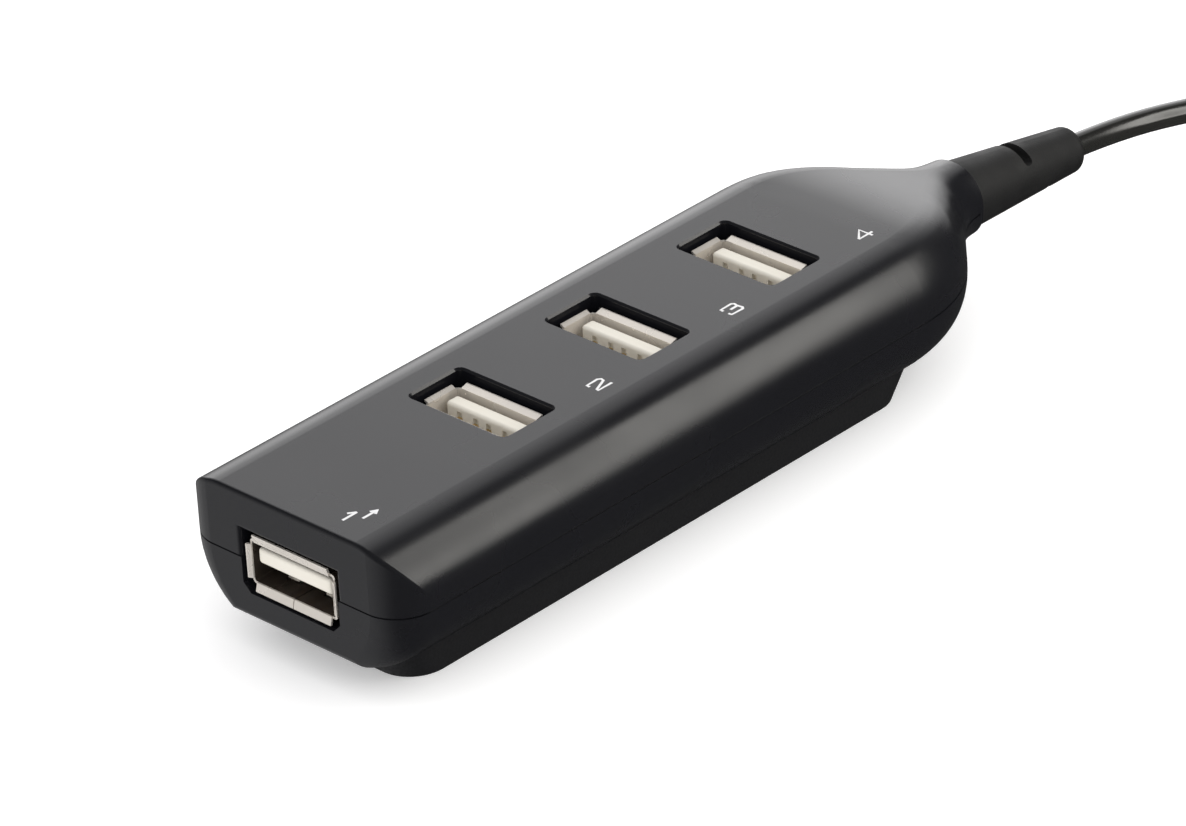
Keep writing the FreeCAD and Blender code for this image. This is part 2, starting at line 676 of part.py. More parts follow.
def make_cable():
    """The loose run, the coil as one ring with rounded edges, and the short end at the plug."""
    ring = Part.makeCylinder(OUTER_TURN + CABLE_RADIUS, COIL_HEIGHT, COIL_CENTRE)
    ring = ring.cut(Part.makeCylinder(INNER_TURN - CABLE_RADIUS, 7, COIL_CENTRE - Vector(0, 0, 0.5)))
    ring = ring.makeFillet(1.3, [e for e in ring.Edges if e.Closed and e.Length > 60])
    run, run_length = tube_along(CABLE_ROUTE, CABLE_RADIUS)
    tail, tail_length = tube_along(TAIL_ROUTE, CABLE_RADIUS)
    turns = math.pi * (OUTER_TURN + INNER_TURN) * LOWER_TURNS
    turns += math.pi * (UPPER_START + LAST_TURN) * (UPPER_TURNS - 0.08)
    print(f"whole cable, boot to plug: {run_length + turns + tail_length:.0f} mm")
    return run.cut(ring), ring, tail.cut(ring)


def make_tie():
    """A flat band once round the coil's section, on the coil's left side."""
    c = COIL_CENTRE
    x0 = c.x - OUTER_TURN - CABLE_RADIUS
    x1 = c.x - INNER_TURN + CABLE_RADIUS
    outer = rounded_box(x0 - 0.9, x1 + 0.9, c.y - 2.5, c.y + 2.5, 0, COIL_HEIGHT + 0.7, 1.4, axis="y")
    inner = rounded_box(x0 - 0.2, x1 + 0.2, c.y - 3.5, c.y + 3.5, -3, COIL_HEIGHT + 0.05, 1.0, axis="y")
    return outer.cut(inner)


# ---- the plug, lying flat on the coil -----------------------------------------------------------
GRIP = (15.8, 21.0, 8.0)
PLUG_SHELL = (12.0, 12.0, 4.5)


def make_plug():
    """The grip, the folded metal shell, the insulator inside it and its four contacts."""
    s = PLUG_START
    w = GRIP[0] / 2
    front = s.y + GRIP[1]
    grip = box(s.x - w, s.x + w, s.y + 4, front, s.z - GRIP[2] / 2, s.z + GRIP[2] / 2)
    grip = grip.makeFillet(1.9, [e for e in grip.Edges if abs(e.Vertexes[0].Y - e.Vertexes[1].Y) > 1])
    rear = [e for e in grip.Edges if e.BoundBox.YMax < s.y + 4.01]
    grip = grip.makeFillet(1.2, rear)
    collar = Part.makeCone(2.5, 3.2, 6.0, s, Vector(0, 1, 0))
    grip = joined([grip, collar])

    pw = PLUG_SHELL[0] / 2
    ph = PLUG_SHELL[2] / 2
    tip = front + PLUG_SHELL[1]
    root = front - 6.0
    shell = rounded_box(s.x - pw, s.x + pw, root, tip, s.z - ph, s.z + ph, 0.45, axis="y")
    core = rounded_box(s.x - pw + 0.3, s.x + pw - 0.3, root - 1, tip + 1,
                       s.z - ph + 0.3, s.z + ph - 0.3, 0.2, axis="y")
    grip = grip.cut(shell)
    shell = shell.cut(core)
    for x in (-2.9, 2.9):
        for z in (-ph, ph):
            window = box(s.x + x - 1.25, s.x + x + 1.25, tip - 7.5, tip - 5.2, s.z + z - 0.4, s.z + z + 0.4)
            shell = shell.cut(window)

    blade = box(s.x - pw + 0.35, s.x + pw - 0.35, root + 2, tip - 0.3, s.z - ph + 0.35, s.z - 0.05)
    filler = box(s.x - pw + 0.35, s.x + pw - 0.35, root, front + 0.5, s.z - ph + 0.35, s.z + ph - 0.35)
    insulator = joined([blade, filler])
    contacts = []
    for x in CONTACT_X:
        end = tip - (1.2 if abs(x) > 2 else 2.2)
        strip = box(s.x + x - 0.5, s.x + x + 0.5, front - 2, end, s.z - 0.25, s.z + 0.03)
        contacts.append(strip)
        insulator = insulator.cut(strip)
    depth = GRIP[1] - 8.0
    bore = cylinder_between(s - Vector(0, 1, 0), s + Vector(0, depth, 0), CABLE_RADIUS)
    stub = cylinder_between(s, s + Vector(0, depth, 0), CABLE_RADIUS)
    return grip.cut(bore), shell, insulator, contacts, stub


# ---- the four wires from the cable to the board ------------------------------------------------
CABLE_END = along_boot(-13.0)
WIRE_RADIUS = 0.45
PAD_Y = 24.6
WIRES = {
    "wire_red": (-6.4, Vector(-0.6, 0, 0.6)),
    "wire_white": (-3.7, Vector(-0.6, 0, -0.6)),
    "wire_green": (3.7, Vector(0.6, 0, -0.6)),
    "wire_black": (6.4, Vector(0.6, 0, 0.6)),
}


def make_wire(pad_x, offset):
    start = CABLE_END + offset
    height = BOARD_TOP + WIRE_RADIUS + 0.1
    points = [
        start,
        start + Vector(0.1 * pad_x, -3.2, 0.1),
        Vector(0.62 * pad_x, 34.5, 10.2),
        Vector(0.93 * pad_x, 30.5, 6.4),
        Vector(pad_x, 27.6, height + 0.1),
        Vector(pad_x, PAD_Y, height),
    ]
    return tube_along(points, WIRE_RADIUS)[0]


def joints_under(places, cutters):
    """Small cones of solder under the board round each leg."""
    cones = []
    for x, y in places:
        cone = Part.makeCone(0.72, 0.4, 0.5, Vector(x, y, BOARD_BOTTOM), Vector(0, 0, -1))
        for cutter in cutters:
            if cutter.BoundBox.intersect(cone.BoundBox):
                cone = cone.cut(cutter)
        cones.append(cone)
    return cones


def dome(x, y, cutters):
    """A drop of solder over a wire's end on top of the board."""
    ball = Part.makeSphere(1.15, Vector(x, y, BOARD_TOP))
    drop = ball.common(box(x - 2, x + 2, y - 2, y + 2, BOARD_TOP, BOARD_TOP + 3))
    for cutter in cutters:
        drop = drop.cut(cutter)
    return drop


# ---- build everything ---------------------------------------------------------------------------
os.makedirs("parts", exist_ok=True)

upper_case, lower_case = make_case()
export("upper_case", upper_case)
export("lower_case", lower_case)

board = make_board()
export("circuit_board", board)
export("board_screws", Part.makeCompound([case_screw(y) for y in SCREW_PLACES]))

leg_places = []
through_legs = []
for number, y in zip((2, 3, 4), TOP_PORTS):
    shell, insulator, contacts = top_socket(y)
    export(f"port_{number}_socket_shell", shell)
    export(f"port_{number}_insulator", insulator)
    export(f"port_{number}_contacts", Part.makeCompound(contacts))
    through_legs += [shell] + contacts
    for side in (1, -1):
        for dy in (-1.5, 1.5):
            leg_places.append((side * (SHELL_OUT[0] - SHELL_SHEET) / 2, y + dy))
    for x in CONTACT_X:
        leg_places.append((x, y + TONGUE_LOW_Y + 0.085))

shell, insulator, contacts = front_socket()
export("port_1_socket_shell", shell)
export("port_1_insulator", insulator)
export("port_1_contacts", Part.makeCompound(contacts))
through_legs += [shell] + contacts
front_back = FRONT_MOUTH + FRONT_DEPTH
for side in (1, -1):
    leg_places.append((side * (SHELL_OUT[0] - SHELL_SHEET) / 2, front_back - 2.5))
for x in CONTACT_X:
    leg_places.append((x, front_back - 1.125))

chip_body, chip_leads = chip(0, -14.15, 5.3, 10.2, 1.9, 28, 0.65, 1.25)
export("hub_controller_chip", chip_body)
export("hub_controller_leads", Part.makeCompound(chip_leads))
export("crystal", crystal_can(-3.0, -32.2))
can = Part.makeCylinder(2.5, 7.0, Vector(6.3, -35.0, BOARD_TOP))
export("electrolytic_capacitor", can.makeFillet(0.5, [can.Edges[0], can.Edges[2]]))
CAPACITORS = [(8.4, -21), (8.4, -8), (8.4, 3), (8.4, 12), (-8.4, -21), (-8.4, -8), (-8.4, 3), (-8.4, 12)]
RESISTORS = [(-4, 5.5), (-4, 7.75), (-4, 10), (4, 5.5), (4, 7.75), (4, 10)]
export("ceramic_capacitors", Part.makeCompound(small_parts(CAPACITORS, (0.9, 1.7, 0.85))))
export("resistors", Part.makeCompound(small_parts(RESISTORS, (1.7, 0.9, 0.5))))

wires = []
for name, (pad_x, offset) in WIRES.items():
    wire = make_wire(pad_x, offset)
    wires.append(wire)
    export(name, wire)
solder = joints_under(leg_places, through_legs)
for pad_x, _ in WIRES.values():
    solder.append(dome(pad_x, PAD_Y + 0.2, wires))
export("solder_joints", Part.makeCompound(solder))

export("strain_relief", make_boot())
export("cable_in_boot", cylinder_between(CABLE_END, BOOT_TIP, CABLE_RADIUS))
cable_run, cable_coil, cable_tail = make_cable()
export("cable", cable_run)
export("cable_coil", cable_coil)
export("cable_end_at_plug", cable_tail)
export("coil_tie", make_tie())
grip, plug_shell, plug_insulator, plug_contacts, plug_stub = make_plug()
export("plug_grip", grip)
export("plug_shell", plug_shell)
export("plug_insulator", plug_insulator)
export("plug_contacts", Part.makeCompound(plug_contacts))
export("cable_in_plug", plug_stub)
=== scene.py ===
import bpy
import bmesh
from math import cos, pi, radians, sin
from mathutils import Matrix, Quaternion, Vector


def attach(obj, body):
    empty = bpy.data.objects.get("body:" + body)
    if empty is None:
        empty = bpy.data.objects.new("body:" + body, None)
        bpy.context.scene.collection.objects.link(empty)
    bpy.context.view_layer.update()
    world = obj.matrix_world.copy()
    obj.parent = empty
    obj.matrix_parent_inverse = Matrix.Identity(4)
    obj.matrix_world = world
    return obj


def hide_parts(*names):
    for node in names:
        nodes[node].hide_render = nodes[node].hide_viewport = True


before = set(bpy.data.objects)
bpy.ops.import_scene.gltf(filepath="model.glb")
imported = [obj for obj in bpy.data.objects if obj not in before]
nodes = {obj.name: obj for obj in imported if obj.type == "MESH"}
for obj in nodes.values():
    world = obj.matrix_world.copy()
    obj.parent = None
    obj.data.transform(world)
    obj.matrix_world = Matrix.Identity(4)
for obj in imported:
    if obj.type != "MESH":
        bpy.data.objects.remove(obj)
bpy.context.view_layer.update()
MM = 0.001

# ---- The eye and the table ------------------------------------------------------------------
# The hub stands on a wide pale table and is looked at from 0.8 m away through a long lens,
# from off its front right corner, with the camera leaning a few degrees.
scene = bpy.context.scene
scene.view_settings.view_transform = "Standard"

EYE = Vector((0.48541, -0.49277, 0.40117))
AZIMUTH, ELEVATION, LEAN = 45.028, 29.613, -3.416
LENS_MM, SENSOR_MM = 212.59, 36
camera_data = bpy.data.cameras.new("camera")
camera_data.sensor_width = SENSOR_MM
camera_data.lens = LENS_MM
camera_data.clip_start = 0.01
camera_data.clip_end = 50
camera = bpy.data.objects.new("camera", camera_data)
scene.collection.objects.link(camera)
scene.camera = camera
azimuth, elevation = radians(AZIMUTH), radians(ELEVATION)
look_back = Vector((sin(azimuth) * cos(elevation), -cos(azimuth) * cos(elevation), sin(elevation)))
camera.rotation_mode = "QUATERNION"
level_view = (-look_back).to_track_quat("-Z", "Y")
camera.rotation_quaternion = level_view @ Quaternion((0, 0, 1), radians(LEAN))
camera.location = EYE


def shader(name, colour, roughness, metallic=0.0):
    """A new material, its node tree and its Principled shader with the constants set."""
    material = bpy.data.materials.new(name)
    material.use_nodes = True
    tree = material.node_tree
    principled = tree.nodes["Principled BSDF"]
    principled.inputs["Base Color"].default_value = (*colour, 1)
    principled.inputs["Roughness"].default_value = roughness
    principled.inputs["Metallic"].default_value = metallic
    return material, tree, principled


def new_piece(name, mesh):
    """A finished mesh as an object at the origin."""
    piece = bpy.data.objects.new(name, mesh)
    scene.collection.objects.link(piece)
    return piece


def linked(tree, kind, **sources):
    """A new node in a tree with some inputs linked or set, each named or numbered as in _0."""
    node = tree.nodes.new(kind)
    for key, source in sources.items():
        socket = node.inputs[int(key[1:]) if key[0] == "_" else key]
        if isinstance(source, bpy.types.NodeSocket):
            tree.links.new(source, socket)
        else:
            socket.default_value = source
    return node


def maths(tree, operation, *operands):
    """The result of one Math node whose operands are sockets or numbers."""
    node = linked(tree, "ShaderNodeMath", **{f"_{k}": operand for k, operand in enumerate(operands)})
    node.operation = operation
    return node.outputs[0]


# the table glows a little and shiny parts don't mirror it
TABLE_HALF_WIDTH = 6
TABLE_GLOW = 0.30
floor_mesh = bpy.data.meshes.new("table")
floor_form = bmesh.new()
bmesh.ops.create_grid(floor_form, x_segments=1, y_segments=1, size=TABLE_HALF_WIDTH)
floor_form.to_mesh(floor_mesh)
floor_form.free()
table = new_piece("table", floor_mesh)
table_paint, _, paint = shader("table_paint", (0.92, 0.92, 0.92), 0.9)
paint.inputs["Emission Color"].default_value = (1, 1, 1, 1)
paint.inputs["Emission Strength"].default_value = TABLE_GLOW
floor_mesh.materials.append(table_paint)
table.visible_glossy = False

world = bpy.data.worlds.new("studio")
scene.world = world
world.use_nodes = True
studio = world.node_tree
sky = studio.nodes["Background"]
direction = studio.nodes.new("ShaderNodeTexCoord").outputs["Generated"]

# What dull surfaces see is an even white; what shiny ones mirror is a dark studio with three
# soft patches of light. A patch is its direction, the cosines where it starts and where it is
# full, and its strength.
DULL_STRENGTH = 1.08
DARK_STRENGTH = 0.045
PATCHES = (
    ((-0.615, 0.615, 0.494), 0.80, 0.94, 1.02),     # large softbox behind on the left
    ((-0.60, 0.78, 0.10), 0.88, 0.99, 1.30),        # brighter window low behind it
    ((-0.66, -0.50, -0.494), 0.30, 0.98, 0.48),     # pale floor, front left
)


def lobe(toward, edge, core, strength):
    """A soft round patch of light: nothing beyond edge, full from core on."""
    along = linked(studio, "ShaderNodeVectorMath", _0=direction, _1=Vector(toward).normalized())
    along.operation = "DOT_PRODUCT"
    ramp = linked(studio, "ShaderNodeMapRange", Value=along.outputs["Value"])
    ramp.interpolation_type = "SMOOTHSTEP"
    ramp.inputs["From Min"].default_value = edge
    ramp.inputs["From Max"].default_value = core
    ramp.inputs["To Max"].default_value = strength
    return ramp.outputs["Result"]


mirrored = DARK_STRENGTH
for patch in PATCHES:
    mirrored = maths(studio, "ADD", mirrored, lobe(*patch))
ray = studio.nodes.new("ShaderNodeLightPath")
choice = linked(studio, "ShaderNodeMix", _0=ray.outputs["Is Glossy Ray"], _2=DULL_STRENGTH, _3=mirrored)
studio.links.new(choice.outputs[0], sky.inputs["Strength"])
sky.inputs["Color"].default_value = (1.0, 0.995, 1.0, 1)


def soft_light(name, place, aim, width, length, watts, tint, upright):
    """A rectangular soft light that faces a point, its long side along upright."""
    data = bpy.data.lights.new(name, "AREA")
    data.shape = "RECTANGLE"
    data.size, data.size_y = width, length
    data.energy = watts
    data.color = tint
    lamp = bpy.data.objects.new(name, data)
    scene.collection.objects.link(lamp)
    back = (Vector(place) - Vector(aim)).normalized()
    side = Vector(upright).cross(back).normalized()
    up = back.cross(side)
    lamp.matrix_world = Matrix.Translation(place) @ Matrix((side, up, back)).transposed().to_4x4()


# one long, slightly warm strip light behind on the right
soft_light("strip_light", place=(0.66, 0.60, 0.44), aim=(0, 0, 0.015), width=0.17, length=1.2,
           watts=4.1, tint=(1.0, 0.98, 0.93), upright=(-0.45, 0.16, 0.68))

# ---- Case mouldings -------------------------------------------------------------------------
# Two halves moulded in black ABS from a polished mould, so the walls shine softly; the
# plinth under them was left with the mould's sparked, matte grain.


def grain_group():
    """Shared moulded grain on object coordinates: fine pits and broad cloudiness."""
    group = bpy.data.node_groups.new("moulded_grain", "ShaderNodeTree")
    face = group.interface
    for name in ("Pits per metre", "Clouds per metre"):
        face.new_socket(name, in_out="INPUT", socket_type="NodeSocketFloat")
    for name in ("Pits", "Clouds"):
        face.new_socket(name, in_out="OUTPUT", socket_type="NodeSocketFloat")
    given = group.nodes.new("NodeGroupInput").outputs
    result = group.nodes.new("NodeGroupOutput").inputs
    where = group.nodes.new("ShaderNodeTexCoord").outputs["Object"]
    for name, detail in (("Pits", 3.0), ("Clouds", 4.0)):
        noise = linked(group, "ShaderNodeTexNoise", Vector=where, Scale=given[name + " per metre"],
                       Detail=detail)
        group.links.new(noise.outputs["Fac"], result[name])
    return group


MOULDED_GRAIN = grain_group()


def grained(tree, pits, clouds):
    """The shared grain in a material's tree, with its pits and clouds per metre."""
    node = tree.nodes.new("ShaderNodeGroup")
    node.node_tree = MOULDED_GRAIN
    node.inputs["Pits per metre"].default_value = pits
    node.inputs["Clouds per metre"].default_value = clouds
    return node


def spread(tree, value, low, high, start=0.3, end=0.7):
    """A mask stretched to run from low to high."""
    node = linked(tree, "ShaderNodeMapRange", Value=value)
    node.inputs["From Min"].default_value = start
    node.inputs["From Max"].default_value = end
    node.inputs["To Min"].default_value = low
    node.inputs["To Max"].default_value = high
    return node.outputs["Result"]


def bumped(tree, principled, height, depth, distance):
    """Relief on a shader from a mask, its depth a number or a socket."""
    bump = linked(tree, "ShaderNodeBump", Height=height, Strength=depth, Distance=distance)
    tree.links.new(bump.outputs["Normal"], principled.inputs["Normal"])


def mixed(tree, factor, first, second):
    """Two colours mixed by a mask, each a triple or a socket."""
    node = tree.nodes.new("ShaderNodeMix")
    node.data_type = "RGBA"
    tree.links.new(factor, node.inputs["Factor"])
    for socket, colour in ((node.inputs["A"], first), (node.inputs["B"], second)):
        if isinstance(colour, bpy.types.NodeSocket):
            tree.links.new(colour, socket)
        else:
            socket.default_value = (*colour, 1)
    return node.outputs["Result"]


def clouded(tree, principled, mask, dark, light):
    """Colour a shader with two close tones mixed by a mask."""
    tree.links.new(mixed(tree, mask, dark, light), principled.inputs["Base Color"])


def uneven(tree, principled, mask, low, high):
    """Let a shader's roughness vary with a mask."""
    tree.links.new(spread(tree, mask, low, high), principled.inputs["Roughness"])


def position(tree):
    """The shaded point's X, Y and Z in metres, as the outputs of a node."""
    where = tree.nodes.new("ShaderNodeTexCoord").outputs["Object"]
    return linked(tree, "ShaderNodeSeparateXYZ", _0=where).outputs


def between(tree, value, limits):
    """One where a measure lies between two limits in millimetres, else zero."""
    above = maths(tree, "GREATER_THAN", value, limits[0] * MM)
    below = maths(tree, "LESS_THAN", value, limits[1] * MM)
    return maths(tree, "MULTIPLY", above, below)


def dress(node_name, material):
    """Give a CAD node its material in every slot."""
    mesh = nodes[node_name].data
    for k in range(len(mesh.materials)):
        mesh.materials[k] = material


PLINTH_TOP = 4.45 * MM
case_black, tree, plastic = shader("case_gloss", (0.0100, 0.0100, 0.0115), 0.26)
grain = grained(tree, 2600.0, 45.0)
place = position(tree)
on_plinth = maths(tree, "LESS_THAN", place["Z"], PLINTH_TOP)
gloss_rough = spread(tree, grain.outputs["Clouds"], 0.21, 0.30)
matte_rough = spread(tree, grain.outputs["Pits"], 0.55, 0.75)
rough = linked(tree, "ShaderNodeMix", _0=on_plinth, _2=gloss_rough, _3=matte_rough)
tree.links.new(rough.outputs[0], plastic.inputs["Roughness"])
clouded(tree, plastic, grain.outputs["Clouds"], (0.0060, 0.0062, 0.0080), (0.0082, 0.0084, 0.0105))
depth = spread(tree, on_plinth, 0.015, 0.35, 0.0, 1.0)
bumped(tree, plastic, grain.outputs["Pits"], depth, 0.00006)

# painted shade: inside the socket windows the walls' shine is cut, so that they stay black
WINDOWS_X, WINDOWS_Y, WINDOWS_Z = (-8.3, 8.3), (-55.2, 30.0), (5.2, 20.08)
window_shade_mask = between(tree, place["X"], WINDOWS_X)
window_shade_mask = maths(tree, "MULTIPLY", window_shade_mask, between(tree, place["Z"], WINDOWS_Z))
window_shade_mask = maths(tree, "MULTIPLY", window_shade_mask, between(tree, place["Y"], WINDOWS_Y))
# lower shine inside the windows is painted shade, not a different finish
painted_shade_shine = spread(tree, window_shade_mask, 0.5, 0.06, 0.0, 1.0)
tree.links.new(painted_shade_shine, plastic.inputs["Specular IOR Level"])
for name in ("upper_case", "lower_case"):
    dress(name, case_black)

# ---- Port marks -----------------------------------------------------------------------------
# A small white digit beside each port, pad-printed on the case: 1 and its arrow at the front
# end, 2, 3 and 4 turned to be read from the right.
print_white, tree, ink = shader("print_white", (0.80, 0.80, 0.80), 0.55)
grain = grained(tree, 5200.0, 300.0)
clouded(tree, ink, grain.outputs["Clouds"], (0.70, 0.70, 0.71), (0.88, 0.88, 0.88))
bumped(tree, ink, grain.outputs["Pits"], 0.2, 0.00002)

# places and sizes of the marks are in millimetres
CASE_TOP = 20.4
STROKE = 0.36
INK_FLATNESS = 0.18            # a stroke's height as a share of its width
STROKES = {
    "1": [[(0.55, 0), (0.55, 1)], [(0.55, 1), (0.02, 0.62)]],
    "2": [[(0.03, 0.70), (0.05, 0.97), (0.80, 1.0), (0.95, 0.85), (0.90, 0.60), (0.08, 0.16), (0.05, 0.0),
           (1.0, 0.0)]],
    "3": [[(0.03, 0.72), (0.05, 0.97), (0.85, 1.0), (0.97, 0.85), (0.92, 0.58), (0.97, 0.15), (0.85, 0.0),
           (0.05, 0.03), (0.03, 0.28)], [(0.92, 0.54), (0.38, 0.52)]],
    "4": [[(0.72, 0), (0.72, 1), (0.0, 0.34), (0.0, 0.28), (1.0, 0.30)]],
    "arrow": [[(0.5, 0), (0.5, 1)], [(0.22, 0.66), (0.5, 1), (0.78, 0.66)]],
}


def print_mark(sign, x, y, width, height, turn):
    """One sign drawn as flat rounded strokes, centred at x, y on the top face."""
    curve = bpy.data.curves.new(sign, "CURVE")
    curve.dimensions = "3D"
    curve.bevel_depth = STROKE / 2 * MM
    curve.bevel_resolution = 2
    curve.use_fill_caps = True
    for stroke in STROKES[sign]:
        spline = curve.splines.new("POLY")
        spline.points.add(len(stroke) - 1)
        for point, (u, v) in zip(spline.points, stroke):
            point.co = ((u - 0.5) * width * MM, (v - 0.5) * height * MM, 0, 1)
    holder = bpy.data.objects.new(sign, curve)
    scene.collection.objects.link(holder)
    bpy.context.view_layer.update()
    evaluated = holder.evaluated_get(bpy.context.evaluated_depsgraph_get())
    mesh = bpy.data.meshes.new_from_object(evaluated)
    bpy.data.objects.remove(holder)
    mesh.transform(Matrix.Diagonal((1, 1, INK_FLATNESS, 1)))
    mesh.transform(Matrix.Rotation(turn, 4, "Z"))
    mesh.transform(Matrix.Translation((x * MM, y * MM, CASE_TOP * MM)))
    mesh.materials.clear()
    mesh.materials.append(print_white)
    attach(new_piece("port_mark_" + sign, mesh), "root")


for mark in (
    ("1", 6.1, -51.9, 1.2, 2.2, 0),
    ("arrow", 7.6, -50.2, 1.5, 2.3, 0),
    ("2", 7.55, -14.2, 2.3, 1.8, pi / 2),
    ("3", 7.6, 7.7, 2.2, 1.8, pi / 2),
    ("4", 7.5, 30.1, 2.2, 2.1, pi / 2),
):
    print_mark(*mark)

# ---- Sockets --------------------------------------------------------------------------------
# Each USB-A socket is a folded shell of nickel-plated sheet with flared lips, round an ivory
# moulded block whose tongue carries four gold-flashed contacts.


def nickel_finish(name):
    """Satin nickel plate: the material, its tree, its shader and its colour as a socket."""
    material, own_tree, principled = shader(name, (0.80, 0.75, 0.68), 0.24, 0.55)
    own_grain = grained(own_tree, 3000.0, 160.0)
    colour = mixed(own_tree, own_grain.outputs["Clouds"], (0.74, 0.69, 0.62), (0.88, 0.83, 0.77))
    own_tree.links.new(colour, principled.inputs["Base Color"])
    uneven(own_tree, principled, own_grain.outputs["Clouds"], 0.18, 0.34)
    bumped(own_tree, principled, own_grain.outputs["Pits"], 0.12, 0.00003)
    return material, own_tree, principled, colour


nickel = nickel_finish("socket_nickel")[0]

# painted shade: the level socket's plate is painted dark inside, as shade; only its lips and its fingers'
# crests stay bright
CREST_X, CREST_Y, CREST_Z = (2.0, 3.9), (-53.0, -51.2), (9.32, 10.6)
PAINTED_SHADE_Y = (-55.15, -40.0)
front_nickel_painted_shade, tree, metal, plate = nickel_finish("front_socket_nickel_painted_shade")
place = position(tree)
across = maths(tree, "ABSOLUTE", place["X"])
crest = between(tree, place["Z"], CREST_Z)
crest = maths(tree, "MULTIPLY", crest, between(tree, across, CREST_X))
crest = maths(tree, "MULTIPLY", crest, between(tree, place["Y"], CREST_Y))
painted_shade_deep = maths(tree, "SUBTRACT", between(tree, place["Y"], PAINTED_SHADE_Y), crest)
# the dark brown tone deep in the socket is painted shade over the nickel colour
clouded(tree, metal, painted_shade_deep, plate, (0.060, 0.047, 0.038))

ivory, tree, moulding = shader("insulator_ivory", (0.78, 0.74, 0.65), 0.42)
grain = grained(tree, 2400.0, 120.0)
clouded(tree, moulding, grain.outputs["Clouds"], (0.74, 0.70, 0.61), (0.82, 0.79, 0.71))
uneven(tree, moulding, grain.outputs["Clouds"], 0.36, 0.50)
bumped(tree, moulding, grain.outputs["Pits"], 0.15, 0.00004)

gold, tree, strip = shader("contact_gold", (0.83, 0.62, 0.30), 0.28, 1.0)
grain = grained(tree, 6000.0, 260.0)
clouded(tree, strip, grain.outputs["Clouds"], (0.76, 0.55, 0.26), (0.88, 0.68, 0.36))
uneven(tree, strip, grain.outputs["Clouds"], 0.20, 0.36)
bumped(tree, strip, grain.outputs["Pits"], 0.1, 0.00002)

for port in (1, 2, 3, 4):
    dress(f"port_{port}_socket_shell", front_nickel_painted_shade if port == 1 else nickel)
    dress(f"port_{port}_insulator", ivory)
    dress(f"port_{port}_contacts", gold)

# ---- Circuit board --------------------------------------------------------------------------
# A small green board low in the case, screwed to two posts, with the hub chip, its crystal,
# a few capacitors and resistors, and the four cable wires soldered at its rear.
board_green, tree, mask = shader("board_green", (0.02, 0.16, 0.07), 0.35)
grain = grained(tree, 1800.0, 90.0)
where = tree.nodes.new("ShaderNodeTexCoord").outputs["Object"]
tracks = linked(tree, "ShaderNodeTexWave", Vector=where, Scale=520.0, Distortion=3.0, Detail=1.0)
lines = spread(tree, tracks.outputs["Fac"], 0.0, 1.0, 0.62, 0.70)
clouded(tree, mask, lines, (0.015, 0.13, 0.055), (0.035, 0.24, 0.10))
uneven(tree, mask, grain.outputs["Clouds"], 0.28, 0.42)
bumped(tree, mask, lines, 0.3, 0.00004)
dress("circuit_board", board_green)


SMALL_CLOUDS = 350.0           # clouds per metre on small parts


def plain_finish(name, dark, light, rough, metallic, pits, depth):
    """A small part's finish: two close tones in clouds, uneven gloss and a fine grain."""
    material, own_tree, principled = shader(name, light, rough, metallic)
    own_grain = grained(own_tree, pits, SMALL_CLOUDS)
    clouded(own_tree, principled, own_grain.outputs["Clouds"], dark, light)
    uneven(own_tree, principled, own_grain.outputs["Clouds"], rough * 0.8, rough * 1.2)
    bumped(own_tree, principled, own_grain.outputs["Pits"], depth, 0.00003)
    return material


for finish, dark, light, rough, metallic, pits, depth, wearers in (
    ("bright_tin", (0.60, 0.61, 0.62), (0.78, 0.79, 0.80), 0.22, 1.0, 5000.0, 0.15,
     ("hub_controller_leads", "crystal", "solder_joints")),
    ("chip_black", (0.018, 0.018, 0.019), (0.030, 0.030, 0.031), 0.62, 0.0, 7000.0, 0.5,
     ("hub_controller_chip", "resistors")),
    ("screw_zinc", (0.45, 0.45, 0.46), (0.62, 0.62, 0.63), 0.34, 1.0, 4000.0, 0.2,
     ("board_screws",)),
    ("can_sleeve", (0.015, 0.020, 0.060), (0.025, 0.032, 0.090), 0.35, 0.0, 3000.0, 0.1,
     ("electrolytic_capacitor",)),
    ("fired_ceramic", (0.40, 0.29, 0.19), (0.52, 0.40, 0.28), 0.48, 0.0, 6000.0, 0.4,
     ("ceramic_capacitors",)),
    ("wire_red_skin", (0.42, 0.02, 0.015), (0.56, 0.04, 0.03), 0.45, 0.0, 2500.0, 0.15,
     ("wire_red",)),
    ("wire_white_skin", (0.70, 0.70, 0.68), (0.84, 0.84, 0.82), 0.45, 0.0, 2500.0, 0.15,
     ("wire_white",)),
    ("wire_green_skin", (0.02, 0.24, 0.06), (0.04, 0.34, 0.10), 0.45, 0.0, 2500.0, 0.15,
     ("wire_green",)),
    ("wire_black_skin", (0.012, 0.012, 0.012), (0.022, 0.022, 0.022), 0.45, 0.0, 2500.0, 0.15,
     ("wire_black",)),
):
    material = plain_finish(finish, dark, light, rough, metallic, pits, depth)
    for name in wearers:
        dress(name, material)

# ---- Strain relief --------------------------------------------------------------------------
# A tapered sleeve of soft black rubber, moulded over the cable and held by a flange inside the
# case's neck. Two cross slots let it bend; the surface is dull, with a fine grain.
rubber, tree, skin = shader("boot_rubber", (0.020, 0.020, 0.021), 0.62)
grain = grained(tree, 4200.0, 260.0)
clouded(tree, skin, grain.outputs["Clouds"], (0.006, 0.006, 0.006), (0.012, 0.012, 0.012))
uneven(tree, skin, grain.outputs["Clouds"], 0.52, 0.70)
bumped(tree, skin, grain.outputs["Pits"], 0.5, 0.00006)
dress("strain_relief", rubber)

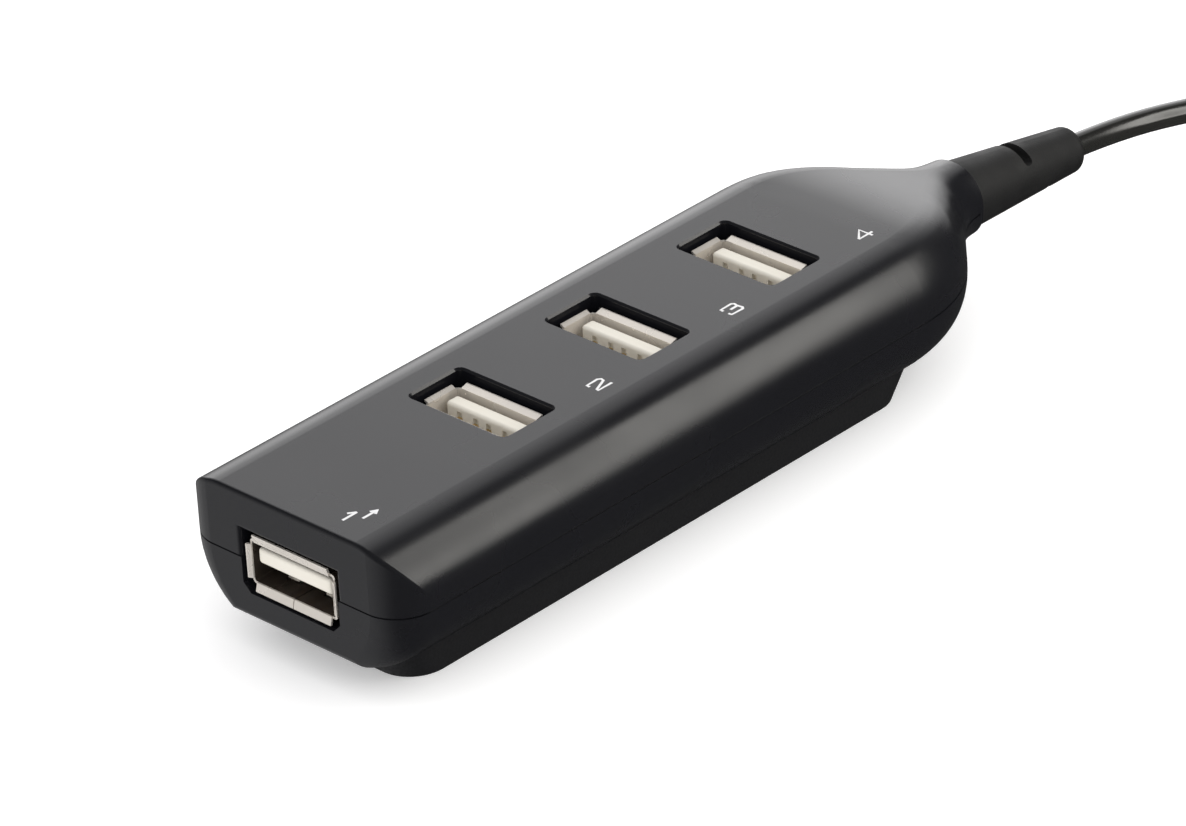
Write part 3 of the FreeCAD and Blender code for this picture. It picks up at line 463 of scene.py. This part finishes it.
# ---- Cable and plug -------------------------------------------------------------------------
# Thin round cable with a smooth vinyl jacket. It leaves the boot, bends down to the table and
# runs on to a flat coil of the put-away length, tied once, with the plug lying on it.
vinyl, tree, jacket = shader("cable_vinyl", (0.014, 0.014, 0.013), 0.13)
grain = grained(tree, 3600.0, 140.0)
clouded(tree, jacket, grain.outputs["Clouds"], (0.012, 0.012, 0.011), (0.020, 0.020, 0.018))
uneven(tree, jacket, grain.outputs["Clouds"], 0.10, 0.17)
bumped(tree, jacket, grain.outputs["Pits"], 0.12, 0.00003)

# the diameter is in metres, the route in millimetres
CABLE_DIAMETER = 3.0 * MM
BOOT_TIP = Vector((1.0062, 74.4243, 11.0712))
BOOT_AXIS = Vector((0.05, 1.0, -0.071)).normalized()
COIL_CENTRE = Vector((-7.5, 145.0, 0))
PLUG_START = COIL_CENTRE + Vector((14.8, 1.0, 10.0))
STEPS = 16                     # route points for each turn of the coil
LOWER_TURNS, UPPER_TURNS = 3.0, 1.5
LOWER_RADIUS, UPPER_RADIUS = 21.0, 13.5     # where each layer starts
WINDING_PITCH = 3.0            # between turns, and between the layers
LOWER_HEIGHT = 1.5
CLIMB_LEAD, CLIMB_TURNS = 0.15, 0.25        # how early the cable climbs, and over how much of a turn


def coil_point(turns, radius, z):
    """A point of the coil, which is entered on its right side and wound anticlockwise."""
    angle = 2 * pi * turns
    return COIL_CENTRE + Vector((radius * cos(angle), radius * sin(angle), z))


run_points = [
    BOOT_TIP,
    BOOT_TIP + BOOT_AXIS * 9.0,
    Vector((4.4, 95.5, 9.1)),
    Vector((6.7, 106.5, 6.9)),
    Vector((8.9, 117.0, 3.9)),
    Vector((11.1, 128.0, 1.9)),
]
coil_points = []
for k in range(int((LOWER_TURNS + UPPER_TURNS) * STEPS)):
    turns = k / STEPS
    if turns <= LOWER_TURNS:
        radius = LOWER_RADIUS - WINDING_PITCH * turns
    else:
        radius = UPPER_RADIUS + WINDING_PITCH * (turns - LOWER_TURNS)
    climb = min(max((turns - LOWER_TURNS + CLIMB_LEAD) / CLIMB_TURNS, 0), 1)
    z = LOWER_HEIGHT + WINDING_PITCH * climb * climb * (3 - 2 * climb)
    coil_points.append(coil_point(turns, radius / cos(pi / STEPS), z))
tail_points = [
    coil_point(0.49, 18.1, 4.9),
    coil_point(0.56, 17.8, 6.1),
    coil_point(0.63, 17.3, 7.4),
    coil_point(0.70, 17.0, 8.4),
    coil_point(0.77, 17.0, 9.2),
    coil_point(0.84, 17.0, 9.7),
    COIL_CENTRE + Vector((13.4, -10.0, 9.9)),
    COIL_CENTRE + Vector((14.7, -4.6, 10.0)),
    PLUG_START,
]
cable_curve = bpy.data.curves.new("usb_cable", "CURVE")
cable_curve.dimensions = "3D"
cable_curve.bevel_depth = CABLE_DIAMETER / 2
cable_curve.bevel_resolution = 6
cable_curve.resolution_u = 6
cable_curve.use_fill_caps = True
line = cable_curve.splines.new("NURBS")
route = run_points + coil_points + tail_points
line.points.add(len(route) - 1)
for point, target in zip(line.points, route):
    point.co = (*(target * MM), 1)
line.order_u = 3
line.use_endpoint_u = True
cable_curve.materials.append(vinyl)
cable = bpy.data.objects.new("usb_cable", cable_curve)
scene.collection.objects.link(cable)
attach(cable, "root")
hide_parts("cable", "cable_coil", "cable_end_at_plug")
for name in ("cable_in_boot", "cable_in_plug"):
    dress(name, vinyl)
dress("coil_tie",
      plain_finish("tie_band", (0.020, 0.020, 0.020), (0.035, 0.035, 0.035), 0.50, 0.0, 3000.0, 0.3))
dress("plug_grip",
      plain_finish("plug_black", (0.014, 0.014, 0.015), (0.022, 0.022, 0.023), 0.42, 0.0, 3200.0, 0.3))
dress("plug_shell", nickel)
dress("plug_insulator", ivory)
dress("plug_contacts", gold)
